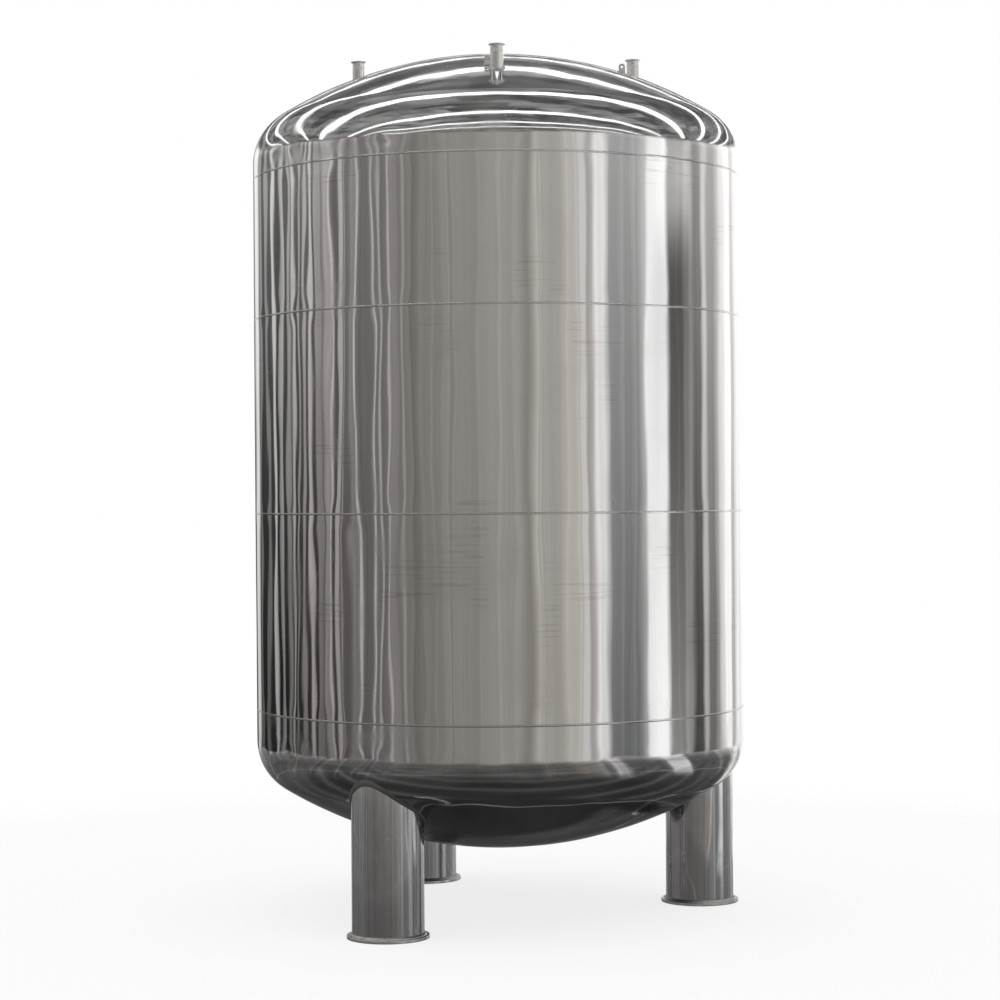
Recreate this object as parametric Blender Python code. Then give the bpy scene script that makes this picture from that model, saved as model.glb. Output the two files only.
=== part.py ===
"""Vertical storage tank of polished stainless steel, standing on three tube legs.

Three rolled shell courses lie between two dished heads, and every joint between them is a weld
of its own. Each leg is a tube cut to fit the bottom head, on a round foot plate. Four short
nozzles with clamp ferrules and two lugs stand on the top head.

Metres, +Z up. The origin is on the tank's axis at floor level, and the front faces -Y.
"""

import math

import bmesh
import bpy
from mathutils import Matrix, Vector

# Shell and heads
SHELL_RADIUS = 1.000
SHELL_WALL = 0.005
HEAD_WALL = 0.006
CROWN_RADIUS = 1.70
KNUCKLE_RADIUS = 0.22
ROUND_SIDES = 60
KNUCKLE_STEPS = 4
CROWN_STEPS = 5

# Levels above the floor: where each head's curve starts, and the middle of each girth weld
BOTTOM_TANGENT = 0.700
TOP_TANGENT = 3.050
GIRTHS = {"bottom": 0.834, "lower": 1.628, "upper": 2.414, "top": 2.984}

# Shell courses, with the girth welds below and above each and the azimuth of its own seam.
# An azimuth is measured from the front, positive towards the right side (+X).
COURSES = {
    "lower": ("bottom", "lower", 117.0),
    "middle": ("lower", "upper", -123.0),
    "upper": ("upper", "top", 177.0),
}

# Welds, and the clearance between faces that touch
WELD_WIDTH = 0.008
WELD_CROWN = 0.0005
BEAD_SIZE = 0.009
SEAT_GAP = 0.0003

# Legs and their foot plates, at these azimuths
LEG_AZIMUTHS = {"front_left": -31.5, "right": 98.0, "rear_left": -156.0}
LEG_CIRCLE = 0.835
LEG_RADIUS = 0.140
LEG_WALL = 0.006
LEG_SIDES = 32
FOOT_RADIUS = 0.160
FOOT_THICKNESS = 0.012
FOOT_CHAMFER = 0.002

# Nozzles on the top head, each at its (x, y)
NOZZLE_PLACES = {
    "front": (0.004, -0.700),
    "left": (-0.565, 0.0),
    "right": (0.565, 0.0),
    "back": (0.004, 0.700),
}
NOZZLE_HEIGHT = 0.090
NOZZLE_RADIUS = 0.0254
NOZZLE_WALL = 0.0016
NOZZLE_INSIDE = 0.022
NOZZLE_SIDES = 24
FERRULE_HEIGHT = 0.0215
FERRULE_RADIUS = 0.032
FERRULE_EDGE = 0.0029
FERRULE_BACK_ANGLE = 20.0

# Lugs on the top head, each at its (x, y)
LUG_PLACES = {"front": (-0.0330, -0.660), "right": (0.510, -0.200)}
LUG_WIDTH = 0.026
LUG_HEIGHT = 0.036
LUG_THICKNESS = 0.008
LUG_HOLE_RADIUS = 0.005
LUG_ARC_STEPS = 10
LUG_HOLE_SIDES = 16

MERGE = 0.00001

# Finishes: colour, roughness, metallic
FINISHES = {
    "polished": ((0.62, 0.61, 0.59, 1.0), 0.08, 1.0),
    "brushed": ((0.50, 0.50, 0.50, 1.0), 0.25, 1.0),
    "weld": ((0.56, 0.55, 0.53, 1.0), 0.30, 1.0),
}


def clear_scene():
    """Remove every object that the file opened with."""
    for thing in list(bpy.data.objects):
        bpy.data.objects.remove(thing, do_unlink=True)


def make_material(name, finish):
    """Make a Principled material with one of the FINISHES."""
    colour, roughness, metallic = FINISHES[finish]
    material = bpy.data.materials.new(name)
    material.use_nodes = True
    shader = material.node_tree.nodes["Principled BSDF"]
    shader.inputs["Base Color"].default_value = colour
    shader.inputs["Roughness"].default_value = roughness
    shader.inputs["Metallic"].default_value = metallic
    material.diffuse_color = colour
    return material


def add_object(name, bm, finish=None, place=(0.0, 0.0, 0.0)):
    """Turn a bmesh into a named object with its own material, or into a guide without one."""
    bmesh.ops.recalc_face_normals(bm, faces=bm.faces)
    mesh = bpy.data.meshes.new(name)
    bm.to_mesh(mesh)
    bm.free()
    thing = bpy.data.objects.new(name, mesh)
    thing.location = place
    bpy.context.scene.collection.objects.link(thing)
    if finish is None:
        thing.hide_render = True
        thing.display_type = "WIRE"
        return thing
    mesh.materials.append(make_material(name + "_finish", finish))
    mesh.shade_smooth()
    mesh.set_sharp_from_angle(angle=math.radians(35.0))
    return thing


def combine(thing, other, operation):
    """Cut or keep the shape of one object with another, by a Boolean modifier."""
    boolean = thing.modifiers.new(other.name, "BOOLEAN")
    boolean.operation = operation
    boolean.solver = "EXACT"
    boolean.object = other


def polar(radius, azimuth):
    """Give the (x, y) at a radius and an azimuth in degrees from the front."""
    turn = math.radians(azimuth)
    return radius * math.sin(turn), -radius * math.cos(turn)


def arc(centre, radius, start, end, steps):
    """List the (r, z) points of an arc between two angles in degrees, ends included."""
    angles = [math.radians(start + (end - start) * i / steps) for i in range(steps + 1)]
    return [(centre[0] + radius * math.cos(a), centre[1] + radius * math.sin(a)) for a in angles]


def lathe(profile, sides, closed):
    """Turn a list of (r, z) points round the Z axis, as a ring or from pole to pole."""
    bm = bmesh.new()
    verts = [bm.verts.new((r, 0.0, z)) for r, z in profile]
    edges = [bm.edges.new(pair) for pair in zip(verts, verts[1:])]
    if closed:
        edges.append(bm.edges.new((verts[-1], verts[0])))
    bmesh.ops.spin(
        bm,
        geom=verts + edges,
        cent=(0.0, 0.0, 0.0),
        axis=(0.0, 0.0, 1.0),
        angle=math.tau,
        steps=sides,
        use_merge=True,
    )
    bmesh.ops.remove_doubles(bm, verts=bm.verts, dist=MERGE)
    return bm


def rectangle(r_low, r_high, z_low, z_high):
    """Give the four profile points of a flat-ended ring."""
    return [(r_low, z_low), (r_high, z_low), (r_high, z_high), (r_low, z_high)]


def crown_offset():
    """Give how far the crown's centre lies beyond the tangent line."""
    return math.sqrt((CROWN_RADIUS - KNUCKLE_RADIUS) ** 2 - (SHELL_RADIUS - KNUCKLE_RADIUS) ** 2)


def dish_curve(offset):
    """List the (r, height) points of a head from its tangent line to its apex.

    The offset moves the curve outwards from the head's outer face, or inwards where negative.
    """
    knuckle_place = SHELL_RADIUS - KNUCKLE_RADIUS
    join = math.degrees(math.atan2(crown_offset(), knuckle_place))
    knuckle = arc((knuckle_place, 0.0), KNUCKLE_RADIUS + offset, 0.0, join, KNUCKLE_STEPS)
    crown = arc((0.0, -crown_offset()), CROWN_RADIUS + offset, join, 90.0, CROWN_STEPS)
    return knuckle + crown[1:]


def dish_height(radius, offset=0.0):
    """Give a head's height above its tangent line at a radius within the crown."""
    return math.sqrt((CROWN_RADIUS + offset) ** 2 - radius**2) - crown_offset()


def head_profile(tangent, direction, rim):
    """List the profile points of a head's wall, from one pole to the other round its rim."""
    outer = [(r, tangent + direction * h) for r, h in dish_curve(0.0)]
    inner = [(r, tangent + direction * h) for r, h in dish_curve(-HEAD_WALL)]
    edge = [(SHELL_RADIUS, rim), (SHELL_RADIUS - HEAD_WALL, rim)]
    return outer[::-1] + edge + inner


def head_guide(name, tangent, direction, offset, back):
    """Make the solid space under a head's outer face, grown by an offset, as a cutting guide."""
    curve = [(r, tangent + direction * h) for r, h in dish_curve(offset)]
    base = tangent - direction * back
    profile = curve[::-1] + [(SHELL_RADIUS + offset, base), (0.0, base)]
    return add_object(name, lathe(profile, ROUND_SIDES, closed=False))


def make_heads():
    """Make both dished heads with their straight flanges, and return the top one."""
    half = WELD_WIDTH / 2 + SEAT_GAP
    bottom = head_profile(BOTTOM_TANGENT, -1, GIRTHS["bottom"] - half)
    add_object("bottom_head", lathe(bottom, ROUND_SIDES, closed=False), "polished")
    top = head_profile(TOP_TANGENT, 1, GIRTHS["top"] + half)
    return add_object("top_head", lathe(top, ROUND_SIDES, closed=False), "polished")


def rolled_sheet(z_low, z_high, opening):
    """Bend a sheet into an open ring that leaves a slot of this angle at the +X side."""
    bm = bmesh.new()
    inner = SHELL_RADIUS - SHELL_WALL
    profile = rectangle(inner, SHELL_RADIUS, z_low, z_high)
    start = Matrix.Rotation(opening / 2, 4, "Z")
    face = bm.faces.new([bm.verts.new(start @ Vector((r, 0.0, z))) for r, z in profile])
    bmesh.ops.spin(
        bm,
        geom=[face] + list(face.edges) + list(face.verts),
        cent=(0.0, 0.0, 0.0),
        axis=(0.0, 0.0, 1.0),
        angle=math.tau - opening,
        steps=ROUND_SIDES,
        use_merge=False,
    )
    return bm


def make_shell():
    """Make the rolled courses, each closed by the weld along its own seam."""
    half_seam = WELD_WIDTH / 2
    opening = 2 * (half_seam + SEAT_GAP) / SHELL_RADIUS
    for name, (below, above, azimuth) in COURSES.items():
        z_low = GIRTHS[below] + half_seam + SEAT_GAP
        z_high = GIRTHS[above] - half_seam - SEAT_GAP
        turn = math.radians(azimuth - 90.0)
        course = add_object("shell_course_" + name, rolled_sheet(z_low, z_high, opening), "polished")
        course.rotation_euler.z = turn
        seam = bmesh.new()
        bmesh.ops.create_cube(seam, size=1.0)
        size = (SHELL_WALL + WELD_CROWN, WELD_WIDTH, z_high - z_low)
        middle = SHELL_RADIUS - SHELL_WALL / 2
        bmesh.ops.scale(seam, vec=size, verts=seam.verts)
        bmesh.ops.translate(seam, vec=(middle, 0.0, (z_low + z_high) / 2), verts=seam.verts)
        add_object("seam_weld_" + name, seam, "weld").rotation_euler.z = turn


def make_girth_welds():
    """Make the weld rings between the courses and the heads, a little proud of the shell."""
    inner = SHELL_RADIUS - SHELL_WALL
    for name, level in GIRTHS.items():
        half = WELD_WIDTH / 2
        profile = rectangle(inner, SHELL_RADIUS + WELD_CROWN, level - half, level + half)
        add_object("girth_weld_" + name, lathe(profile, ROUND_SIDES, closed=True), "weld")


def saddle_bead(name, radius, span, place, skin, layer):
    """Make the weld round a tube where it meets a head, as the ring between two head guides."""
    inner = radius + SEAT_GAP
    sides = LEG_SIDES if radius == LEG_RADIUS else NOZZLE_SIDES
    ring = lathe(rectangle(inner, inner + BEAD_SIZE, *span), sides, closed=True)
    bead = add_object(name, ring, "weld", place)
    combine(bead, layer, "INTERSECT")
    combine(bead, skin, "DIFFERENCE")


def make_legs():
    """Make the three tube legs with their foot plates and welds."""
    skin = head_guide("bottom_skin_guide", BOTTOM_TANGENT, -1, SEAT_GAP, 0.05)
    layer = head_guide("bottom_bead_guide", BOTTOM_TANGENT, -1, BEAD_SIZE, 0.06)
    foot_top = FOOT_THICKNESS + SEAT_GAP
    buried = BOTTOM_TANGENT - 0.04
    for name, azimuth in LEG_AZIMUTHS.items():
        place = (*polar(LEG_CIRCLE, azimuth), 0.0)
        tube = rectangle(LEG_RADIUS - LEG_WALL, LEG_RADIUS, foot_top, buried)
        leg = add_object("leg_" + name, lathe(tube, LEG_SIDES, closed=True), "brushed", place)
        combine(leg, skin, "DIFFERENCE")
        saddle_bead("leg_weld_" + name, LEG_RADIUS, (0.3, buried), place, skin, layer)
        make_foot(name, place)


def make_foot(name, place):
    """Make a leg's round foot plate, and the fillet weld that stands on it."""
    disc = [
        (0.0, 0.0),
        (FOOT_RADIUS, 0.0),
        (FOOT_RADIUS, FOOT_THICKNESS - FOOT_CHAMFER),
        (FOOT_RADIUS - FOOT_CHAMFER, FOOT_THICKNESS),
        (0.0, FOOT_THICKNESS),
    ]
    add_object("foot_plate_" + name, lathe(disc, LEG_SIDES, closed=False), "brushed", place)
    inner = LEG_RADIUS + SEAT_GAP
    base = FOOT_THICKNESS + SEAT_GAP
    fillet = [(inner, base), (inner + BEAD_SIZE, base), (inner, base + BEAD_SIZE)]
    add_object("foot_weld_" + name, lathe(fillet, LEG_SIDES, closed=True), "weld", place)


def ferrule_profile(z_low, z_high):
    """List the profile points of a clamp ferrule, from its welded end to its face."""
    bore = NOZZLE_RADIUS - NOZZLE_WALL
    drop = (FERRULE_RADIUS - NOZZLE_RADIUS) * math.tan(math.radians(FERRULE_BACK_ANGLE))
    edge = z_high - FERRULE_EDGE
    return [
        (bore, z_low),
        (NOZZLE_RADIUS, z_low),
        (NOZZLE_RADIUS, edge - drop),
        (FERRULE_RADIUS, edge),
        (FERRULE_RADIUS, z_high),
        (bore, z_high),
    ]


def make_nozzles(head):
    """Make the nozzles, bored through the top head, with their ferrules and welds."""
    skin = head_guide("top_skin_guide", TOP_TANGENT, 1, SEAT_GAP, 0.05)
    layer = head_guide("top_bead_guide", TOP_TANGENT, 1, BEAD_SIZE, 0.06)
    for name, (x, y) in NOZZLE_PLACES.items():
        surface = TOP_TANGENT + dish_height(math.hypot(x, y))
        place = (x, y, surface)
        bore = NOZZLE_RADIUS - NOZZLE_WALL
        ferrule_foot = NOZZLE_HEIGHT - FERRULE_HEIGHT
        tube = rectangle(bore, NOZZLE_RADIUS, -NOZZLE_INSIDE, ferrule_foot - SEAT_GAP)
        add_object("nozzle_" + name, lathe(tube, NOZZLE_SIDES, closed=True), "brushed", place)
        ferrule = ferrule_profile(ferrule_foot, NOZZLE_HEIGHT)
        add_object("ferrule_" + name, lathe(ferrule, NOZZLE_SIDES, closed=True), "polished", place)
        saddle_bead("nozzle_weld_" + name, NOZZLE_RADIUS, (-0.04, 0.04), place, skin, layer)
        hole = [(0.0, -0.06), (NOZZLE_RADIUS + SEAT_GAP, -0.06)]
        hole += [(NOZZLE_RADIUS + SEAT_GAP, 0.06), (0.0, 0.06)]
        drill = add_object("drill_" + name, lathe(hole, NOZZLE_SIDES, closed=False), None, place)
        combine(head, drill, "DIFFERENCE")
    return skin


def lug_blank():
    """Make a round-topped upright plate whose lower end runs below the head's face."""
    bm = bmesh.new()
    half = LUG_WIDTH / 2
    outline = arc((0.0, LUG_HEIGHT - half), half, 0.0, 180.0, LUG_ARC_STEPS)
    outline += [(-half, -half), (half, -half)]
    front = -LUG_THICKNESS / 2
    face = bm.faces.new([bm.verts.new((x, front, z)) for x, z in outline])
    extruded = bmesh.ops.extrude_face_region(bm, geom=[face])
    moved = [v for v in extruded["geom"] if isinstance(v, bmesh.types.BMVert)]
    bmesh.ops.translate(bm, vec=(0.0, LUG_THICKNESS, 0.0), verts=moved)
    return bm


def make_lugs(skin):
    """Make the lugs, each with one hole, seated on the top head."""
    for name, (x, y) in LUG_PLACES.items():
        surface = TOP_TANGENT + dish_height(math.hypot(x, y))
        place = (x, y, surface)
        lug = add_object("lug_" + name, lug_blank(), "brushed", place)
        combine(lug, skin, "DIFFERENCE")
        hole = [(0.0, -0.02), (LUG_HOLE_RADIUS, -0.02), (LUG_HOLE_RADIUS, 0.02), (0.0, 0.02)]
        drill_mesh = lathe(hole, LUG_HOLE_SIDES, closed=False)
        bmesh.ops.rotate(drill_mesh, matrix=Matrix.Rotation(math.pi / 2, 3, "X"), verts=drill_mesh.verts)
        lift = LUG_HEIGHT - LUG_WIDTH / 2
        drill = add_object("lug_drill_" + name, drill_mesh, None, (x, y, surface + lift))
        combine(lug, drill, "DIFFERENCE")


def main():
    clear_scene()
    top_head = make_heads()
    make_shell()
    make_girth_welds()
    make_legs()
    top_skin = make_nozzles(top_head)
    make_lugs(top_skin)


main()
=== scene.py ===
"""Looks of a vertical storage tank of polished stainless steel on three tube legs.

Every piece stands in the place of its CAD node and is modelled finer: rolled courses with the
slight waviness of real sheet, pressed heads, ground girth welds, rippled fillet welds, tubes with
clamp ferrules, and drilled lugs. The studio round the tank holds what the steel mirrors.

Metres, +Z up. The front faces -Y. An azimuth is measured in degrees from the front, positive
towards the right side (+X).
"""

import logging
import math
from collections.abc import Callable, Sequence
from dataclasses import dataclass, field
from enum import Enum
from functools import reduce
from typing import NamedTuple

import bmesh
import bpy
from mathutils import Matrix, Quaternion, Vector, noise


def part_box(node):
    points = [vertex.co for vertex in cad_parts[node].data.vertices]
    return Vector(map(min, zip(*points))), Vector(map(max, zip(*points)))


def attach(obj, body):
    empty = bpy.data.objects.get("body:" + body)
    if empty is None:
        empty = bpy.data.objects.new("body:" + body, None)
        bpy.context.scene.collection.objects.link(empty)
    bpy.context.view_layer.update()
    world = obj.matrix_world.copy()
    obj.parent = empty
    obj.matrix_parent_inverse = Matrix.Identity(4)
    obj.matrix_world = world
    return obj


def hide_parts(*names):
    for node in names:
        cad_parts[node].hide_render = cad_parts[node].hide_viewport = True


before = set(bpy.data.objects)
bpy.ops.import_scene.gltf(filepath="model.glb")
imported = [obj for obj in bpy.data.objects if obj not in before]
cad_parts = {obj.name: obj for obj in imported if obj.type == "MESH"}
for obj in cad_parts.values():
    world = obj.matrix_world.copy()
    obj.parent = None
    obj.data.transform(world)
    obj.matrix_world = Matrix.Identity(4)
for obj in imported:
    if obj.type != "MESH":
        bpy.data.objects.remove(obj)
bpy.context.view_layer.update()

LOG = logging.getLogger("tank")

Point = tuple[float, float]
Colour = tuple[float, float, float]
Socket = bpy.types.NodeSocket
Seat = Callable[[float, float], float]
Footprint = Callable[[float, float], Point]

BODY = "root"

# Metres, and degrees for the angles from which an edge is sharp
SEAT_GAP = 0.0003
WELD_WIDTH = 0.008
WELD_CROWN = 0.0005
CROWN_STEPS = 6
MERGE = 0.000001
SHEET_SHARP = 35.0
BEAD_SHARP = 60.0
SEED_STEP = 5.3
SEED_TILT = 0.37
KINK_SOFTNESS = 0.3
WHITE = (1.0, 1.0, 1.0, 1.0)


class Slot(Enum):
    """Material slots of the record."""

    POLISHED = "polished_stainless"
    SATIN = "satin_stainless"
    WELD = "weld_stainless"


class Grain(Enum):
    """Way that the polishing lines run, as how fine their pattern is along X, Y and Z."""

    ROUND = (3.0, 3.0, 700.0)
    UPRIGHT = (500.0, 500.0, 4.0)
    CLOUDY = (90.0, 90.0, 90.0)


class Tint(Enum):
    """Tints of the surroundings."""

    WARM = (1.0, 0.950, 0.890)
    ROSE = (1.0, 0.925, 0.920)
    PLAIN = (1.0, 0.992, 0.985)
    COOL = (0.975, 0.990, 1.0)


class Rise(NamedTuple):
    """A smooth rise, or fall, from start to end while a value goes from low to high."""

    low: float
    high: float
    start: float = 0.0
    end: float = 1.0


# What the shared effects are made of: where their noises start and end, and their shares
HAZE_CLOUDS = Rise(0.46, 0.72)
HAZE_STAIN = 0.3
SCRATCH_WIDTH = Rise(0.0, 0.0012, 1.0, 0.0)
SCRATCH_BREAKS = Rise(0.56, 0.62)
SCRATCH_ROUGHNESS = 0.15
ROW_PATCHES = Rise(0.57, 0.66)
ROW_MARKS = Rise(0.54, 0.64)
ROW_FINENESS = (3.5, 3.5, 110.0)
FINE_LINES = 0.65


def smooth_step(value: float, low: float, high: float) -> float:
    """Rise smoothly between two values.

    Args:
        value: The value to place.
        low: Where the rise starts.
        high: Where the rise ends.

    Returns:
        0 up to low, 1 from high on, and a smooth curve between them.
    """
    share = min(max((value - low) / (high - low), 0.0), 1.0)
    return share * share * (3.0 - 2.0 * share)


def spread(low: float, high: float, steps: int) -> list[float]:
    """List evenly spaced values, ends included."""
    return [low + (high - low) * step / steps for step in range(steps + 1)]


def arc(centre: Point, radius: float, start: float, end: float, steps: int) -> list[Point]:
    """List the points of an arc.

    Args:
        centre: The arc's centre.
        radius: The arc's radius.
        start: The first angle in degrees.
        end: The last angle in degrees.
        steps: How many chords the arc has.

    Returns:
        The points, ends included.
    """
    turns = [math.radians(angle) for angle in spread(start, end, steps)]
    return [(centre[0] + radius * math.cos(t), centre[1] + radius * math.sin(t)) for t in turns]


def turned(
    profile: Sequence[Point], steps: int, closed: bool, angle: float = math.tau
) -> bmesh.types.BMesh:
    """Turn a profile round the Z axis, a quarter first and then by doubling it twice.

    Args:
        profile: The (radius, height) points, from the XZ plane on.
        steps: How many steps the turn has, a multiple of 4.
        closed: Whether the last point joins the first, for a ring.
        angle: How far the profile turns.

    Returns:
        The turned mesh, closed at the poles where the profile ends on the axis.
    """
    bm = bmesh.new()
    verts = [bm.verts.new((radius, 0.0, height)) for radius, height in profile]
    edges = [bm.edges.new(pair) for pair in zip(verts, verts[1:])]
    if closed:
        edges.append(bm.edges.new((verts[-1], verts[0])))
    bmesh.ops.spin(
        bm,
        geom=verts + edges,
        cent=(0.0, 0.0, 0.0),
        axis=(0.0, 0.0, 1.0),
        angle=angle / 4,
        steps=steps // 4,
        use_merge=False,
    )
    for share in (angle / 4, angle / 2):
        double = bmesh.ops.duplicate(bm, geom=[*bm.verts, *bm.edges, *bm.faces])["geom"]
        pivot(bm, share, verts_in(double))
    bmesh.ops.remove_doubles(bm, verts=bm.verts, dist=MERGE)
    return bm


def verts_in(geometry: Sequence[object]) -> list[bmesh.types.BMVert]:
    """Pick the vertices from what an operator gives."""
    return [item for item in geometry if isinstance(item, bmesh.types.BMVert)]


def pivot(bm: bmesh.types.BMesh, angle: float, verts: Sequence[bmesh.types.BMVert]) -> None:
    """Turn vertices round the Z axis by an angle in radians."""
    bmesh.ops.rotate(bm, matrix=Matrix.Rotation(angle, 3, "Z"), verts=verts)


def move(bm: bmesh.types.BMesh, x: float, y: float, z: float = 0.0) -> bmesh.types.BMesh:
    """Move a whole mesh and give it back."""
    bmesh.ops.translate(bm, vec=(x, y, z), verts=bm.verts)
    return bm


def linked(name: str, bm: bmesh.types.BMesh) -> bpy.types.Object:
    """Turn a mesh in the making into an object at the origin, and free it."""
    mesh = bpy.data.meshes.new(name)
    bm.to_mesh(mesh)
    bm.free()
    thing = bpy.data.objects.new(name, mesh)
    bpy.context.scene.collection.objects.link(thing)
    return thing


class Bench:
    """A node tree that is being wired."""

    def __init__(self, tree: bpy.types.NodeTree) -> None:
        """Take the tree to wire."""
        self.tree = tree

    def put(self, socket: Socket, value: object) -> None:
        """Link a socket to another, or give it a fixed value."""
        if isinstance(value, bpy.types.NodeSocket):
            self.tree.links.new(value, socket)
        else:
            socket.default_value = value

    def node(self, kind: str, inputs: dict[str | int, object], **settings: object) -> bpy.types.Node:
        """Add a node and feed its inputs.

        Args:
            kind: The node's type name.
            inputs: Values or sockets by the input's name or number.
            settings: The node's own properties.

        Returns:
            The new node.
        """
        node = self.tree.nodes.new(kind)
        for name, value in settings.items():
            setattr(node, name, value)
        for name, value in inputs.items():
            self.put(node.inputs[name], value)
        return node

    def math(self, operation: str, first: object, second: object = 0.0) -> Socket:
        """Wire a Math node and give its output."""
        return self.node("ShaderNodeMath", {0: first, 1: second}, operation=operation).outputs[0]

    def vector(self, operation: str, first: object, second: object) -> Socket:
        """Wire a Vector Math node and give its vector output."""
        return self.node("ShaderNodeVectorMath", {0: first, 1: second}, operation=operation).outputs[0]

    def length(self, vector: Socket) -> Socket:
        """Wire the length of a vector."""
        return self.node("ShaderNodeVectorMath", {0: vector}, operation="LENGTH").outputs["Value"]

    def times(self, first: object, second: object) -> Socket:
        """Wire a product of two numbers."""
        return self.math("MULTIPLY", first, second)

    def plus(self, first: object, second: object) -> Socket:
        """Wire a sum of two numbers."""
        return self.math("ADD", first, second)

    def weighted(self, *terms: tuple[Socket, float]) -> Socket:
        """Wire a sum of values, each times its weight."""
        return reduce(self.plus, [self.times(value, weight) for value, weight in terms])

    def rise(self, value: object, rise: Rise) -> Socket:
        """Wire a smooth rise, or fall, that follows a value."""
        ends = {"From Min": rise.low, "From Max": rise.high, "To Min": rise.start, "To Max": rise.end}
        inputs = {"Value": value, **ends}
        return self.node("ShaderNodeMapRange", inputs, interpolation_type="SMOOTHSTEP").outputs[0]

    def azimuth(self, place: Socket) -> Socket:
        """Wire the azimuth in degrees of a place or a direction."""
        parts = self.node("ShaderNodeSeparateXYZ", {0: place}).outputs
        turn = self.math("ARCTAN2", parts["X"], self.times(parts["Y"], -1.0))
        return self.times(turn, math.degrees(1.0))

    def mix(self, share: object, first: object, second: object) -> Socket:
        """Wire a mix of two colours."""
        return self.node("ShaderNodeMix", {0: share, 6: first, 7: second}, data_type="RGBA").outputs[2]

    def noise(self, vector: object, scale: float, detail: float, distortion: float = 0.0) -> Socket:
        """Wire a noise in space and give its value output."""
        inputs = {"Vector": vector, "Scale": scale, "Detail": detail, "Distortion": distortion}
        return self.node("ShaderNodeTexNoise", inputs).outputs[0]

    def streaks(self, value: Socket, scale: float, detail: float) -> Socket:
        """Wire a noise along one value and give its output."""
        inputs = {"W": value, "Scale": scale, "Detail": detail}
        return self.node("ShaderNodeTexNoise", inputs, noise_dimensions="1D").outputs[0]

    def cells(self, inputs: dict[str, object], **settings: object) -> Socket:
        """Wire a pattern of cells, each with a value of its own."""
        cells = self.node("ShaderNodeTexVoronoi", inputs, **settings)
        return self.node("ShaderNodeSeparateColor", {0: cells.outputs["Color"]}).outputs[0]

    def gamma(self, colour: Socket, exponent: Socket) -> Socket:
        """Wire a colour to the power of an exponent."""
        return self.node("ShaderNodeGamma", {0: colour, 1: exponent}).outputs[0]

    def glow(self, colour: object, strength: float) -> Socket:
        """Wire a shader that glows."""
        return self.node("ShaderNodeEmission", {0: colour, 1: strength}).outputs[0]

    def background(self, colour: object, strength: float) -> Socket:
        """Wire a background of one colour and strength."""
        return self.node("ShaderNodeBackground", {0: colour, 1: strength}).outputs[0]

    def mix_shader(self, share: object, first: Socket, second: Socket) -> Socket:
        """Wire a mix of two shaders."""
        return self.node("ShaderNodeMixShader", {0: share, 1: first, 2: second}).outputs[0]

    def effect(self, group: bpy.types.NodeTree, inputs: dict[str | int, object]) -> Socket:
        """Place a shared effect and give its output."""
        return self.node("ShaderNodeGroup", inputs, node_tree=group).outputs[0]

    def give(self, output: str, value: Socket) -> bpy.types.NodeTree:
        """Wire the output of a group and give its finished tree."""
        self.node("NodeGroupOutput", {output: value})
        return self.tree


def blank_material(name: str) -> tuple[bpy.types.Material, Bench]:
    """Make a material without nodes, and a bench to wire it on."""
    material = bpy.data.materials.new(name)
    material.use_nodes = True
    material.node_tree.nodes.clear()
    return material, Bench(material.node_tree)


def effect_bench(name: str, inputs: Sequence[str], output: str) -> tuple[Bench, dict[str, Socket]]:
    """Start the node group of a shared effect.

    Args:
        name: The group's name.
        inputs: The names of its inputs: Vector, and others that are plain numbers.
        output: The name of its output.

    Returns:
        A bench on the group's tree, and the sockets that bring its inputs.
    """
    tree = bpy.data.node_groups.new(name, "ShaderNodeTree")
    for label in inputs:
        kind = "NodeSocketVector" if label == "Vector" else "NodeSocketFloat"
        tree.interface.new_socket(label, in_out="INPUT", socket_type=kind)
    tree.interface.new_socket(output, in_out="OUTPUT", socket_type="NodeSocketFloat")
    bench = Bench(tree)
    return bench, dict(zip(inputs, bench.node("NodeGroupInput", {}).outputs))


def polish_lines() -> bpy.types.NodeTree:
    """Make the effect of the fine lines that a polishing belt leaves.

    Returns:
        The group, with the input Vector, already stretched, and the output Lines.
    """
    bench, source = effect_bench("polish_lines", ["Vector"], "Lines")
    fine = bench.noise(source["Vector"], scale=1.0, detail=3.0)
    broad = bench.noise(source["Vector"], scale=0.13, detail=1.0)
    return bench.give("Lines", bench.weighted((fine, FINE_LINES), (broad, 1.0 - FINE_LINES)))


def smudges() -> bpy.types.NodeTree:
    """Make the effect of the hazy marks of wiping and handling.

    Returns:
        The group, with the inputs Vector and Size and the output Haze.
    """
    bench, source = effect_bench("smudges", ["Vector", "Size"], "Haze")
    spots = bench.vector("DIVIDE", source["Vector"], source["Size"])
    cloud = bench.noise(spots, scale=1.0, detail=5.0, distortion=0.7)
    return bench.give("Haze", bench.rise(cloud, HAZE_CLOUDS))


def scratches() -> bpy.types.NodeTree:
    """Make the effect of sparse, thin scratches.

    Returns:
        The group, with the inputs Vector and Spacing and the output Scratch.
    """
    bench, source = effect_bench("scratches", ["Vector", "Spacing"], "Scratch")
    cells = bench.vector("DIVIDE", source["Vector"], source["Spacing"])
    bend = bench.node("ShaderNodeTexNoise", {"Vector": cells, "Scale": 1.5, "Detail": 1.0}).outputs[1]
    web = {"Vector": bench.vector("ADD", cells, bend), "Scale": 1.0}
    borders = bench.node("ShaderNodeTexVoronoi", web, feature="DISTANCE_TO_EDGE")
    distance = bench.times(borders.outputs["Distance"], source["Spacing"])
    broken = bench.rise(bench.noise(cells, scale=2.3, detail=2.0), SCRATCH_BREAKS)
    return bench.give("Scratch", bench.times(bench.rise(distance, SCRATCH_WIDTH), broken))


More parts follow.
